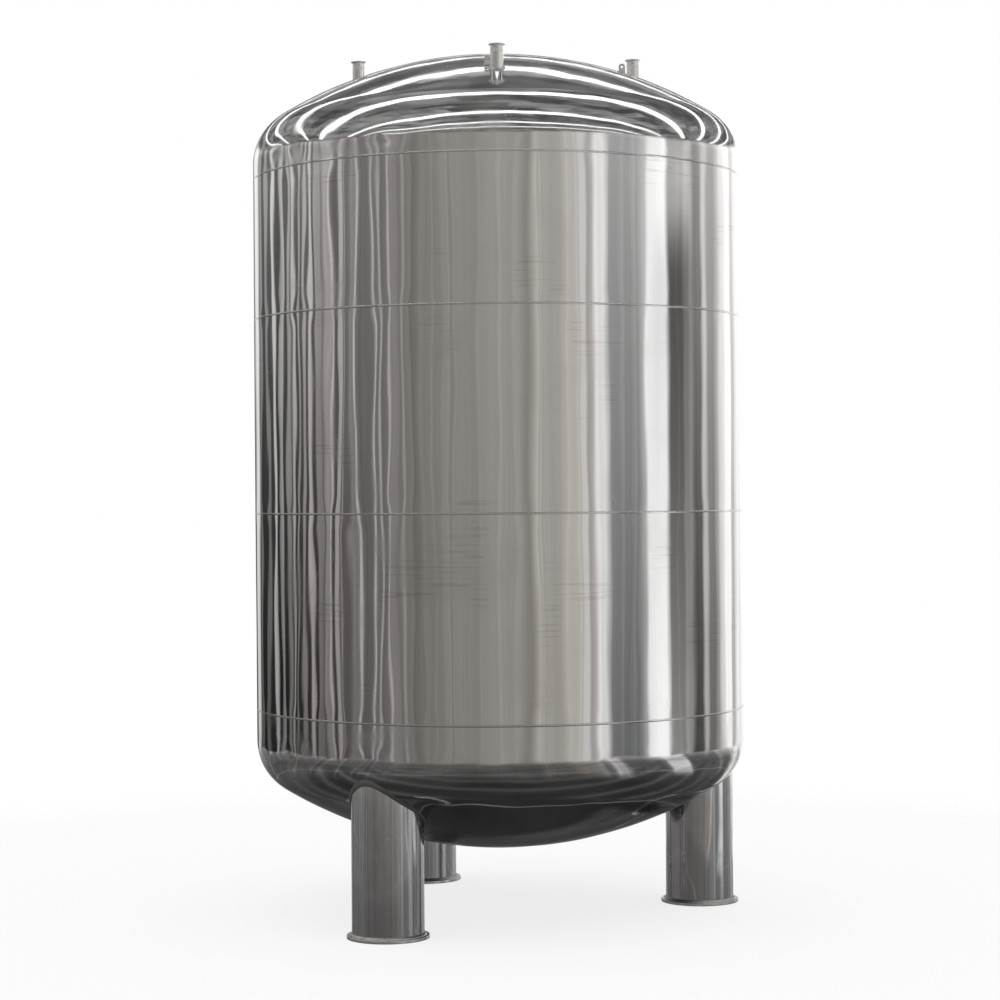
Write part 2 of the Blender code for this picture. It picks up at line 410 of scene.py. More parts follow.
def brush_rows() -> bpy.types.NodeTree:
    """Make the effect of level rows of thin marks, which come in patches.

    Returns:
        The group, with the inputs Vector and Size and the output Rows.
    """
    bench, source = effect_bench("brush_rows", ["Vector", "Size"], "Rows")
    spots = bench.vector("DIVIDE", source["Vector"], source["Size"])
    patch = bench.rise(bench.noise(spots, scale=1.0, detail=2.0), ROW_PATCHES)
    rows = bench.vector("MULTIPLY", source["Vector"], ROW_FINENESS)
    marks = bench.rise(bench.noise(rows, scale=1.0, detail=2.0), ROW_MARKS)
    return bench.give("Rows", bench.times(marks, patch))


@dataclass
class Effects:
    """The node groups that the finishes share."""

    lines: bpy.types.NodeTree = field(default_factory=polish_lines)
    rows: bpy.types.NodeTree = field(default_factory=brush_rows)
    haze: bpy.types.NodeTree = field(default_factory=smudges)
    scratch: bpy.types.NodeTree = field(default_factory=scratches)


@dataclass(frozen=True)
class SteelFinish:
    """One way that the steel's surface is worked. Sizes and depths are in metres."""

    name: str
    slot: Slot
    colour: Colour
    stain: Colour
    roughness: float
    line_roughness: float
    haze_roughness: float
    grain: Grain
    line_depth: float
    dimple_size: float
    dimple_depth: float
    haze_size: float
    scratch_spacing: float
    scratch_depth: float = 0.00004
    row_stain: float = 0.0

    def material(self, effects: Effects) -> bpy.types.Material:
        """Wire the finish as a material.

        Args:
            effects: The shared node groups.

        Returns:
            The new material.
        """
        material = bpy.data.materials.new(self.name)
        material.use_nodes = True
        bench = Bench(material.node_tree)
        shader = material.node_tree.nodes["Principled BSDF"]
        place = bench.node("ShaderNodeTexCoord", {}).outputs["Object"]
        stretched = bench.vector("MULTIPLY", place, self.grain.value)
        lines = bench.effect(effects.lines, {"Vector": stretched})
        haze = bench.effect(effects.haze, {"Vector": place, "Size": self.haze_size})
        scratch = bench.effect(effects.scratch, {"Vector": place, "Spacing": self.scratch_spacing})
        rows = bench.effect(effects.rows, {"Vector": place, "Size": self.haze_size})
        stain = bench.weighted((haze, HAZE_STAIN), (rows, self.row_stain))
        colour = bench.mix(stain, (*self.colour, 1.0), (*self.stain, 1.0))
        bench.put(shader.inputs["Base Color"], colour)
        shader.inputs["Metallic"].default_value = 1.0
        rough = bench.weighted(
            (lines, self.line_roughness), (haze, self.haze_roughness), (scratch, SCRATCH_ROUGHNESS)
        )
        bench.put(shader.inputs["Roughness"], bench.plus(rough, self.roughness))
        dimples = bench.noise(place, scale=1.0 / self.dimple_size, detail=2.0)
        height = bench.weighted(
            (dimples, self.dimple_depth), (lines, self.line_depth), (scratch, -self.scratch_depth)
        )
        bump = bench.node("ShaderNodeBump", {"Strength": 1.0, "Distance": 1.0, "Height": height})
        bench.put(shader.inputs["Normal"], bump.outputs["Normal"])
        return material


class Finish(Enum):
    """The finishes of the tank's steel, with their values in the order of SteelFinish."""

    SHELL = SteelFinish(
        "mirror_shell", Slot.POLISHED, (0.750, 0.742, 0.730), (0.640, 0.625, 0.605),
        0.035, 0.025, 0.040, Grain.ROUND, 0.000001, 0.060, 0.000030, 0.350, 0.900, 0.000004, 1.0,
    )
    HEAD = SteelFinish(
        "mirror_head", Slot.POLISHED, (0.740, 0.735, 0.728), (0.690, 0.680, 0.665),
        0.045, 0.040, 0.060, Grain.CLOUDY, 0.000003, 0.045, 0.000090, 0.180, 0.350, 0.000010,
    )
    LEG = SteelFinish(
        "mirror_leg", Slot.SATIN, (0.660, 0.655, 0.655), (0.580, 0.572, 0.568),
        0.045, 0.040, 0.100, Grain.UPRIGHT, 0.000002, 0.050, 0.000030, 0.110, 0.250,
    )
    TUBE = SteelFinish(
        "satin_tube", Slot.SATIN, (0.860, 0.855, 0.845), (0.780, 0.770, 0.755),
        0.240, 0.080, 0.080, Grain.ROUND, 0.000004, 0.020, 0.000010, 0.050, 0.120,
    )
    FERRULE = SteelFinish(
        "mirror_ferrule", Slot.POLISHED, (0.820, 0.815, 0.805), (0.750, 0.740, 0.725),
        0.120, 0.060, 0.060, Grain.ROUND, 0.000002, 0.020, 0.000010, 0.040, 0.100,
    )
    PLATE = SteelFinish(
        "satin_plate", Slot.SATIN, (0.720, 0.712, 0.700), (0.620, 0.605, 0.590),
        0.220, 0.080, 0.140, Grain.CLOUDY, 0.000004, 0.030, 0.000060, 0.060, 0.120,
    )
    GROUND_WELD = SteelFinish(
        "ground_weld", Slot.WELD, (0.690, 0.680, 0.665), (0.600, 0.585, 0.565),
        0.140, 0.060, 0.100, Grain.CLOUDY, 0.000004, 0.012, 0.000020, 0.060, 0.200,
    )
    BEAD = SteelFinish(
        "bead_weld", Slot.WELD, (0.640, 0.630, 0.615), (0.520, 0.500, 0.475),
        0.320, 0.060, 0.120, Grain.CLOUDY, 0.000003, 0.006, 0.000015, 0.030, 0.100,
    )


@dataclass
class Workshop:
    """Turns finished meshes into pieces of the tank."""

    effects: Effects = field(default_factory=Effects)
    materials: dict[Finish, bpy.types.Material] = field(default_factory=dict)

    def steel(self, finish: Finish) -> bpy.types.Material:
        """Give a finish's material, wired once."""
        if finish not in self.materials:
            self.materials[finish] = finish.value.material(self.effects)
        return self.materials[finish]

    def thing(self, name: str, bm: bmesh.types.BMesh) -> bpy.types.Object:
        """Turn a mesh in the making into an object with its faces pointing outwards."""
        bmesh.ops.recalc_face_normals(bm, faces=bm.faces)
        return linked(name, bm)

    def dress(self, thing: bpy.types.Object, finish: Finish, sharp: float = SHEET_SHARP) -> None:
        """Give an object its finish and its body.

        Args:
            thing: The object.
            finish: Its finish.
            sharp: The angle in degrees from which an edge is sharp.
        """
        thing.data.shade_smooth()
        thing.data.set_sharp_from_angle(angle=math.radians(sharp))
        thing.data.materials.append(self.steel(finish))
        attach(thing, BODY)
        LOG.info("%s: %d faces", thing.name, len(thing.data.polygons))

    def stand_in(
        self, node: str, bm: bmesh.types.BMesh, finish: Finish, sharp: float = SHEET_SHARP
    ) -> None:
        """Make the piece that stands for a CAD node.

        Args:
            node: The node's name.
            bm: The piece's mesh, in its place.
            finish: The piece's finish.
            sharp: The angle in degrees from which an edge is sharp.
        """
        thing = self.thing(node + "_finished", bm)
        self.dress(thing, finish, sharp)
        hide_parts(node)


@dataclass(frozen=True)
class Swell:
    """One scale of unevenness in rolled or pressed sheet."""

    length: float
    stretch: float
    depth: float

    def at(self, place: Vector, seed: float) -> float:
        """Give the unevenness at a place, from about minus to plus half the depth."""
        spot = Vector((place.x, place.y, place.z / self.stretch)) / self.length
        return self.depth * 0.5 * noise.noise(spot + Vector((seed, -seed, SEED_TILT * seed)))


def unevenness(swells: Sequence[Swell], place: Vector, seed: float) -> float:
    """Sum swells at a place, each from a part of the noise of its own."""
    return sum(swell.at(place, seed + SEED_STEP * i) for i, swell in enumerate(swells))


def inward(value: float, rest: float) -> float:
    """Shift an unevenness to the inner side and keep it there.

    Args:
        value: The unevenness, positive or negative.
        rest: How far the sheet lies inside on average.

    Returns:
        The distance inwards, never below zero, with no kink where it nears zero.
    """
    shifted = value + rest
    softness = KINK_SOFTNESS * rest
    return 0.5 * (shifted + math.sqrt(shifted * shifted + softness * softness))


@dataclass(frozen=True)
class Skin:
    """The tank's round outer face with its unevenness, which every sheet and weld follows."""

    radius: float = 1.000
    rest: float = 0.0014
    swells: tuple[Swell, ...] = (Swell(0.36, 4.0, 0.0026), Swell(0.13, 6.0, 0.0012))
    seed: float = 3.1
    busy_side: float = 1.2
    busy_end: float = 0.9

    def depth(self, place: Vector, extra: float = 0.0) -> float:
        """Give how far the face lies inside the true round, more on the left side.

        Args:
            place: The place on the true round.
            extra: Unevenness of the sheet's own.

        Returns:
            The distance inwards.
        """
        lively = 1.0 + self.busy_side * smooth_step(-place.x, 0.0, self.busy_end)
        return inward((unevenness(self.swells, place, self.seed) + extra) * lively, self.rest)

    def press(self, bm: bmesh.types.BMesh, depth: Callable[[Vector], float]) -> bmesh.types.BMesh:
        """Move each vertex towards the axis by the depth at its place, and give the mesh back."""
        for vert in bm.verts:
            radius = math.hypot(vert.co.x, vert.co.y)
            vert.co.xy *= (radius - depth(vert.co)) / radius
        return bm


def crown(radius: float) -> list[Point]:
    """List the (radius, offset) points of a ground weld's crown on a sheet, across its width."""
    half = WELD_WIDTH / 2
    return [
        (radius + WELD_CROWN * (1.0 - (offset / half) ** 2), offset)
        for offset in spread(-half, half, CROWN_STEPS)
    ]


@dataclass
class Course:
    """A rolled shell course with its upright seam weld."""

    name: str
    seed: float
    skin: Skin = field(default_factory=Skin)
    wall: float = 0.005
    steps: int = 1080
    rows: int = 22
    fade: float = 0.070
    seam_rows: int = 300
    edge_shares: tuple[float, ...] = (0.0, 0.03, 0.08, 0.18, 0.35, 0.55, 0.78)
    swells: tuple[Swell, ...] = (Swell(0.15, 4.0, 0.0011), Swell(0.055, 6.0, 0.0004))

    def __post_init__(self) -> None:
        """Read the course's place from the frame."""
        low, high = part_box("shell_course_" + self.name)
        seam_low, seam_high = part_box("seam_weld_" + self.name)
        seam = (seam_low + seam_high) / 2
        self.low = low.z
        self.high = high.z
        self.turn = math.atan2(seam.y, seam.x)

    def levels(self) -> list[float]:
        """List the heights of the rows, closer together near both edges."""
        inside = spread(self.low + self.fade, self.high - self.fade, self.rows)
        edges = [self.fade * share for share in self.edge_shares]
        return [self.low + e for e in edges] + inside + [self.high - e for e in reversed(edges)]

    def depth(self, place: Vector) -> float:
        """Give how far the sheet lies inside the true round at a place."""
        edge = min(place.z - self.low, self.high - place.z)
        own = unevenness(self.swells, place, self.seed) * smooth_step(edge, 0.0, self.fade)
        return self.skin.depth(place, own)

    def sheet(self) -> bmesh.types.BMesh:
        """Roll the sheet into a ring that is open at its seam."""
        slot = (WELD_WIDTH + 2 * SEAT_GAP) / self.skin.radius
        inner = self.skin.radius - self.wall
        profile = [(self.skin.radius, z) for z in self.levels()]
        profile += [(inner, self.high), (inner, self.low)]
        bm = turned(profile, self.steps, closed=True, angle=math.tau - slot)
        pivot(bm, self.turn + slot / 2, bm.verts)
        bmesh.ops.holes_fill(bm, edges=[e for e in bm.edges if e.is_boundary])
        return self.skin.press(bm, self.depth)

    def seam(self) -> bmesh.types.BMesh:
        """Make the upright weld with its low, slightly uneven crown."""
        half = WELD_WIDTH / 2
        inner = self.skin.radius - self.wall
        section = [*crown(self.skin.radius), (inner, half), (inner, -half)]
        bm = bmesh.new()
        face = bm.faces.new([bm.verts.new((x, y, self.low)) for x, y in section])
        pulled = bmesh.ops.extrude_face_region(bm, geom=[face])["geom"]
        bmesh.ops.translate(bm, vec=(0.0, 0.0, self.high - self.low), verts=verts_in(pulled))
        upright = [e for e in bm.edges if abs(e.verts[0].co.z - e.verts[1].co.z) > WELD_WIDTH]
        bmesh.ops.subdivide_edges(bm, edges=upright, cuts=self.seam_rows, use_grid_fill=True)
        pivot(bm, self.turn, bm.verts)
        return self.skin.press(bm, self.depth)

    def build(self, shop: Workshop) -> None:
        """Make the course and its seam weld."""
        shop.stand_in("shell_course_" + self.name, self.sheet(), Finish.SHELL)
        shop.stand_in("seam_weld_" + self.name, self.seam(), Finish.GROUND_WELD)


@dataclass
class GirthWeld:
    """A ground weld round the tank, between two courses or a course and a head."""

    name: str
    skin: Skin = field(default_factory=Skin)
    wall: float = 0.005
    steps: int = 1080

    def build(self, shop: Workshop) -> None:
        """Make the weld with its low crown."""
        node = "girth_weld_" + self.name
        low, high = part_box(node)
        level = (low.z + high.z) / 2
        half = WELD_WIDTH / 2
        inner = self.skin.radius - self.wall
        face = [(radius, level + offset) for radius, offset in crown(self.skin.radius)]
        profile = [(inner, level - half), *face, (inner, level + half)]
        bm = self.skin.press(turned(profile, self.steps, closed=True), self.skin.depth)
        shop.stand_in(node, bm, Finish.GROUND_WELD)


@dataclass
class Head:
    """A pressed head: a straight flange, a knuckle and a crown, with heights from its tangent line."""

    name: str
    side: int
    seed: float
    skin: Skin = field(default_factory=Skin)
    crown: float = 1.70
    knuckle: float = 0.22
    wall: float = 0.006
    steps: int = 420
    flange_rows: int = 10
    knuckle_rows: int = 26
    crown_rows: int = 58
    inner_knuckle_rows: int = 8
    inner_crown_rows: int = 14
    dent_rest: float = 0.0012
    dent_height: float = 0.14
    dents: tuple[Swell, ...] = (
        Swell(0.34, 1.0, 0.0030), Swell(0.12, 1.0, 0.0014), Swell(0.05, 1.0, 0.0005),
    )
    puckers: tuple[Swell, ...] = (Swell(0.11, 1.0, 0.0018),)
    pucker_start: Point = (-0.06, 0.0)
    pucker_end: Point = (0.05, 0.16)
    least_slope: float = 0.3
    drill_length: float = 0.12

    def __post_init__(self) -> None:
        """Work out the curve and read the head's place from the frame."""
        self.knuckle_place = self.skin.radius - self.knuckle
        self.crown_drop = math.sqrt((self.crown - self.knuckle) ** 2 - self.knuckle_place**2)
        self.join = math.degrees(math.atan2(self.crown_drop, self.knuckle_place))
        low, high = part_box(self.name)
        self.rim = low.z if self.side > 0 else high.z
        pole = high.z if self.side > 0 else low.z
        self.tangent = pole - self.side * (self.crown - self.crown_drop)

    def curve(self, offset: float, knuckle_rows: int, crown_rows: int) -> list[Point]:
        """List the (radius, level) points from the tangent line to the pole.

        Args:
            offset: How far outside the head's outer face the curve lies.
            knuckle_rows: Chords in the knuckle.
            crown_rows: Chords in the crown.

        Returns:
            The points.
        """
        knuckle = arc((self.knuckle_place, 0.0), self.knuckle + offset, 0.0, self.join, knuckle_rows)
        dome = arc((0.0, -self.crown_drop), self.crown + offset, self.join, 90.0, crown_rows)
        points = knuckle + dome[1:-1] + [(0.0, dome[-1][1])]
        return [(r, self.tangent + self.side * h) for r, h in points]

    def height(self, radius: float) -> float:
        """Give the outer face's true height above the tangent line at a radius."""
        edge = self.knuckle_place + self.knuckle * math.cos(math.radians(self.join))
        if radius <= edge:
            return math.sqrt(self.crown**2 - radius**2) - self.crown_drop
        return math.sqrt(max(self.knuckle**2 - (radius - self.knuckle_place) ** 2, 0.0))

    def normal(self, place: Vector) -> Vector:
        """Give the outer face's direction at a place on it."""
        radius = math.hypot(place.x, place.y)
        height = (place.z - self.tangent) * self.side
        if height <= 0.0:
            return Vector((place.x, place.y, 0.0)) / radius
        outward = place.xy.to_3d()
        if math.degrees(math.atan2(height, max(radius - self.knuckle_place, 0.0))) < self.join:
            outward *= (radius - self.knuckle_place) / radius
            return (outward + Vector((0.0, 0.0, self.side * height))).normalized()
        return (outward + Vector((0.0, 0.0, self.side * (height + self.crown_drop)))).normalized()

    def depth(self, place: Vector) -> float:
        """Give how far the sheet lies inside the true dish at a place on its outer face."""
        height = (place.z - self.tangent) * self.side
        dome = smooth_step(height, 0.0, self.dent_height)
        pucker = smooth_step(height, *self.pucker_start) * (1.0 - smooth_step(height, *self.pucker_end))
        rim = self.skin.depth(place, unevenness(self.puckers, place, self.seed) * pucker)
        dent = inward(unevenness(self.dents, place, self.seed), self.dent_rest)
        return rim * (1.0 - dome) + dent * dome

    def seat(self, x: float, y: float) -> float:
        """Give the level of the sheet's outer face at a place seen from above."""
        radius = math.hypot(x, y)
        place = Vector((x, y, self.tangent + self.side * self.height(radius)))
        slope = max(abs(self.normal(place).z), self.least_slope)
        return place.z - self.side * self.depth(place) / slope

    def dish(self) -> bmesh.types.BMesh:
        """Press the head, with its unevenness.

        Returns:
            The head's mesh, without its bores.
        """
        outer = self.curve(0.0, self.knuckle_rows, self.crown_rows)
        inner = self.curve(-self.wall, self.inner_knuckle_rows, self.inner_crown_rows)
        flange = [(self.skin.radius, z) for z in spread(self.rim, self.tangent, self.flange_rows)]
        edge = [(self.skin.radius - self.wall, self.rim)]
        bm = turned(outer[::-1] + flange[-2::-1] + edge + inner, self.steps, closed=False)
        shifts = [(vert, self.normal(vert.co), self.depth(vert.co)) for vert in bm.verts]
        for vert, normal, depth in shifts:
            vert.co -= normal * depth
        return bm

    def build(self, shop: Workshop, bores: Sequence["Nozzle"] = ()) -> None:
        """Make the head and bore it for its nozzles.

        Args:
            shop: The workshop.
            bores: The nozzles that stand in holes.
        """
        head = shop.thing(self.name + "_finished", self.dish())
        if bores:
            drill = shop.thing("drill", self.drill(bores))
            cut = head.modifiers.new("bores", "BOOLEAN")
            cut.operation = "DIFFERENCE"
            cut.object = drill
            shape = head.evaluated_get(bpy.context.evaluated_depsgraph_get())
            bored = bpy.data.meshes.new_from_object(shape)
            head.modifiers.clear()
            head.data = bored
            bpy.data.objects.remove(drill)
        shop.dress(head, Finish.HEAD)
        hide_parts(self.name)

    def drill(self, bores: Sequence["Nozzle"]) -> bmesh.types.BMesh:
        """Make the cutter for all bores."""
        bm = bmesh.new()
        for nozzle in bores:
            made = bmesh.ops.create_cone(
                bm,
                cap_ends=True,
                segments=nozzle.steps,
                radius1=nozzle.radius + SEAT_GAP,
                radius2=nozzle.radius + SEAT_GAP,
                depth=self.drill_length,
            )
            centre = (nozzle.x, nozzle.y, self.seat(nozzle.x, nozzle.y))
            bmesh.ops.translate(bm, vec=centre, verts=made["verts"])
        return bm


@dataclass(frozen=True)
class FilletBead:
    """A fillet weld with the overlapping ripples of a hand-held torch."""

    size: float = 0.0088
    pitch: float = 0.0042
    ripple: float = 0.05
    wander: float = 0.06
    fullness: float = 0.6
    face_steps: int = 7
    ripple_steps: int = 4
    lag: float = 2.4
    wander_scale: float = 6.0

    def section(self) -> list[Point]:
        """List the section's points: its root corner, then its bulging face between both toes."""
        face = []
        for x, y in arc((0.0, 0.0), self.size, 0.0, 90.0, self.face_steps):
            flat = self.size / (x + y) if x + y else 1.0
            pull = self.fullness + (1.0 - self.fullness) * flat
            face.append((x * pull, y * pull))
        return [(0.0, 0.0), *face]

    def ring(self, length: float, footprint: Footprint, seat: Seat, side: int) -> bmesh.types.BMesh:
        """Lay the bead round a footprint.

        Args:
            length: The length of the footprint.
            footprint: Gives the (x, y) at a turn in radians and a distance outside the wall.
            seat: Gives the level of the face under the bead at (x, y).
            side: 1 where the bead lies on top of that face, -1 where it hangs under it.

        Returns:
            The bead's mesh.
        """
        ripples = round(length / self.pitch)
        profile = [(1.0 + out, up) for out, up in self.section()]
        bm = turned(profile, ripples * self.ripple_steps, closed=True)
        for vert in bm.verts:
            turn = math.atan2(vert.co.y, vert.co.x)
            out = math.hypot(vert.co.x, vert.co.y) - 1.0
            up = vert.co.z
            across = math.atan2(up, max(out, MERGE)) / (math.pi / 2) - 0.5
            wave = math.cos(ripples * turn - self.lag * (1.0 - 4.0 * across * across))
            slow = noise.noise(Vector((math.cos(turn), math.sin(turn), length)) * self.wander_scale)
            swell = 1.0 - self.ripple * (0.5 - 0.5 * wave) + self.wander * slow
            x, y = footprint(turn, SEAT_GAP + max(out, 0.0) * swell)
            vert.co = (x, y, seat(x, y) + side * (SEAT_GAP + up * swell))
        return bm


def round_footprint(x: float, y: float, radius: float) -> Footprint:
    """Give the footprint of a round tube at (x, y)."""
    return lambda turn, out: (x + (radius + out) * math.cos(turn), y + (radius + out) * math.sin(turn))


@dataclass
class Leg:
    """A tube leg that is cut to fit the bottom head, on its foot plate."""

    name: str
    head: Head
    wall: float = 0.006
    steps: int = 192
    rows: int = 10
    foot_edge: float = 0.002
    edge_steps: int = 4
    foot_rings: int = 3
    foot_steps: int = 128
    bead: FilletBead = FilletBead()
    swells: tuple[Swell, ...] = (Swell(0.12, 4.0, 0.0006),)
    rest: float = 0.0003
    fade: float = 0.2

    def __post_init__(self) -> None:
        """Read the leg's place from the frame."""
        low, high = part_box("foot_plate_" + self.name)
        tube_low, tube_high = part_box("leg_" + self.name)
        self.x, self.y = ((low + high) / 2).xy
        self.foot_radius = (high.x - low.x) / 2
        self.foot_top = high.z
        self.radius = (tube_high.x - tube_low.x) / 2
        self.base = tube_low.z

    def tube(self) -> bmesh.types.BMesh:
        """Cut the tube to fit the head."""
        inner = self.radius - self.wall
        profile = [(self.radius, share) for share in spread(0.0, 1.0, self.rows)]
        bm = turned([*profile, (inner, 1.0), (inner, 0.0)], self.steps, closed=True)
        for vert in bm.verts:
            share = vert.co.z
            place = Vector((self.x + vert.co.x, self.y + vert.co.y, 0.0))
            top = self.head.seat(place.x, place.y) - SEAT_GAP
            place.z = self.base + (top - self.base) * share
            dent = inward(unevenness(self.swells, place, self.head.seed), self.rest)
            radius = math.hypot(vert.co.x, vert.co.y)
            fade = smooth_step(share, 0.0, self.fade) * smooth_step(1.0 - share, 0.0, self.fade)
            pull = (radius - dent * fade) / radius
            vert.co = (self.x + vert.co.x * pull, self.y + vert.co.y * pull, place.z)
        return bm

    def foot(self) -> bmesh.types.BMesh:
        """Make the foot plate with its rounded upper edge."""
        edge = self.foot_edge
        corner = (self.foot_radius - edge, self.foot_top - edge)
        rounding = arc(corner, edge, 0.0, 90.0, self.edge_steps)
        radii = spread(self.foot_radius - 2 * edge, self.radius / 2, self.foot_rings)
        rings = [(radius, self.foot_top) for radius in radii]
        profile = [(0.0, 0.0), (self.foot_radius, 0.0), *rounding, *rings, (0.0, self.foot_top)]
        return move(turned(profile, self.foot_steps, closed=False), self.x, self.y)

    def build(self, shop: Workshop) -> None:
        """Make the leg, its foot plate and both welds."""
        wall = round_footprint(self.x, self.y, self.radius)
        length = math.tau * self.radius
        top_bead = self.bead.ring(length, wall, self.head.seat, -1)
        foot_bead = self.bead.ring(length, wall, lambda x, y: self.foot_top, 1)
        shop.stand_in("leg_" + self.name, self.tube(), Finish.LEG)
        shop.stand_in("foot_plate_" + self.name, self.foot(), Finish.PLATE)
        shop.stand_in("leg_weld_" + self.name, top_bead, Finish.BEAD, BEAD_SHARP)
        shop.stand_in("foot_weld_" + self.name, foot_bead, Finish.BEAD, BEAD_SHARP)


@dataclass
class Nozzle:
    """A short tube through the top head, with a clamp ferrule on its end."""

    name: str
    head: Head
    wall: float = 0.0016
    steps: int = 96
    rows: int = 6
    edge_steps: int = 4
    groove_steps: int = 10
    neck_rows: int = 3
    edge: float = 0.0007
    rim: float = 0.0029
    back_angle: float = 20.0
    groove_place: float = 0.02815
    groove: float = 0.0014
    orbit_weld: float = 0.0014
    orbit_rise: float = 0.00018
    bead: FilletBead = FilletBead(size=0.0075, pitch=0.0028, face_steps=6)

    def __post_init__(self) -> None:
        """Read the nozzle's place from the frame."""
        low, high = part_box("nozzle_" + self.name)
        ferrule_low, ferrule_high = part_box("ferrule_" + self.name)
        self.x, self.y = ((low + high) / 2).xy
        self.radius = (high.x - low.x) / 2
        self.bore = self.radius - self.wall
        self.low = low.z
        self.high = high.z
        self.ferrule_radius = (ferrule_high.x - ferrule_low.x) / 2
        self.ferrule_low = ferrule_low.z
        self.face = ferrule_high.z

    def tube(self) -> bmesh.types.BMesh:
        """Make the tube, with the narrow raised line of the machine weld near its end."""
        weld = self.high - self.orbit_weld
        outer = [(self.radius, z) for z in spread(self.low, weld - self.orbit_weld, self.rows)]
        for share in spread(0.0, 1.0, self.rows):
            rise = self.orbit_rise * math.sin(math.pi * share)
            outer.append((self.radius + rise, weld + self.orbit_weld * (share - 0.5)))
        profile = [*outer, (self.radius, self.high), (self.bore, self.high), (self.bore, self.low)]
        return move(turned(profile, self.steps, closed=True), self.x, self.y)

    def ferrule(self) -> bmesh.types.BMesh:
        """Turn the ferrule, with rounded edges and the groove for its gasket."""
        back = math.radians(self.back_angle)
        rim_low = self.face - self.rim
        drop = (self.ferrule_radius - self.radius) * math.tan(back)
        outer = self.ferrule_radius
        edge = self.edge
        lower = arc((outer - edge, rim_low + edge), edge, self.back_angle - 90.0, 0.0, self.edge_steps)
        upper = arc((outer - edge, self.face - edge), edge, 0.0, 90.0, self.edge_steps)
        groove = arc((self.groove_place, self.face), self.groove, 0.0, -180.0, self.groove_steps)
        mouth = arc((self.bore + edge, self.face - edge), edge, 90.0, 180.0, self.edge_steps)
        levels = spread(self.ferrule_low, rim_low - drop - edge, self.neck_rows)
        neck = [(self.radius, z) for z in levels]
        start = (self.radius + edge / 2, rim_low - drop)
        profile = [(self.bore, self.ferrule_low), *neck, start, *lower, *upper, *groove, *mouth]
        return move(turned(profile, self.steps, closed=True), self.x, self.y)

    def build(self, shop: Workshop) -> None:
        """Make the tube, its ferrule and the weld at its foot."""
        wall = round_footprint(self.x, self.y, self.radius)
        bead = self.bead.ring(math.tau * self.radius, wall, self.head.seat, 1)
        shop.stand_in("nozzle_" + self.name, self.tube(), Finish.TUBE)
        shop.stand_in("ferrule_" + self.name, self.ferrule(), Finish.FERRULE)
        shop.stand_in("nozzle_weld_" + self.name, bead, Finish.BEAD, BEAD_SHARP)


@dataclass
class Lug:
    """A small drilled plate on the top head, with a fillet weld round its foot."""

    name: str
    head: Head
    hole: float = 0.005
    sides: int = 64
    edge: float = 0.0009
    edge_steps: int = 2
    corner_power: float = 8.0
    corner_angle: float = 60.0
    flare: float = 2.2
    foot_stretch: float = 2.0
    bead: FilletBead = FilletBead(size=0.0035, pitch=0.0022, face_steps=5)

    def __post_init__(self) -> None:
        """Read the lug's place from the frame."""
        low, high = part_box("lug_" + self.name)
        self.x, self.y = ((low + high) / 2).xy
        self.half = (high.x - low.x) / 2
        self.thickness = high.y - low.y
        self.hole_level = high.z - self.half

    def plate(self) -> bmesh.types.BMesh:
        """Make the round-topped plate with its hole, seated on the head."""
        bm = bmesh.new()
        rims = [
            bmesh.ops.create_circle(bm, cap_ends=False, segments=self.sides, radius=radius)["verts"]
            for radius in (self.half, self.hole)
        ]
        for vert in rims[0]:
            if vert.co.y < -MERGE:
                width = min(1.0, self.flare * abs(vert.co.x) / self.half)
                vert.co.x = math.copysign(self.half, vert.co.x) * width
                vert.co.y *= self.foot_stretch
        bmesh.ops.bridge_loops(bm, edges=bm.edges[:])
        bmesh.ops.rotate(bm, matrix=Matrix.Rotation(math.pi / 2, 3, "X"), verts=bm.verts)
        move(bm, self.x, self.y + self.thickness / 2, self.hole_level)
        pulled = bmesh.ops.extrude_face_region(bm, geom=bm.faces[:])["geom"]
        bmesh.ops.translate(bm, vec=(0.0, -self.thickness, 0.0), verts=verts_in(pulled))
        for vert in bm.verts:
            vert.co.z = max(vert.co.z, self.head.seat(vert.co.x, vert.co.y) + SEAT_GAP)
        bmesh.ops.recalc_face_normals(bm, faces=bm.faces)
        corner = math.radians(self.corner_angle)
        sharp = [e for e in bm.edges if len(e.link_faces) == 2 and e.calc_face_angle() > corner]
        raised = [e for e in sharp if min(v.co.z for v in e.verts) > self.hole_level - self.half]
        bmesh.ops.bevel(
            bm,
            geom=raised,
            offset=self.edge,
            offset_type="OFFSET",
            affect="EDGES",
            segments=self.edge_steps,
            profile=0.5,
            material=-1,
        )
        return bm

    def outline(self, turn: float, out: float) -> Point:
        """Give a place round the plate's rectangular foot."""
        along = abs(math.cos(turn)) / (self.half + out)
        across = abs(math.sin(turn)) / (self.thickness / 2 + out)
        reach = (along**self.corner_power + across**self.corner_power) ** (-1.0 / self.corner_power)
        return self.x + reach * math.cos(turn), self.y + reach * math.sin(turn)

    def build(self, shop: Workshop) -> None:
        """Make the lug and its weld."""
        shop.stand_in("lug_" + self.name, self.plate(), Finish.PLATE)
        bead = self.bead.ring(4 * self.half + 2 * self.thickness, self.outline, self.head.seat, 1)
        weld = shop.thing("lug_weld_" + self.name, bead)
        shop.dress(weld, Finish.BEAD, BEAD_SHARP)


@dataclass(frozen=True)
class Panel:
    """An upright stretch of the surroundings that the steel mirrors."""

    start: float
    end: float
    level: float
    tint: Tint


def panels(tint: Tint, *stretches: tuple[float, float, float]) -> list[Panel]:
    """List panels of one tint from their starts, ends and levels."""
    return [Panel(start, end, level, tint) for start, end, level in stretches]


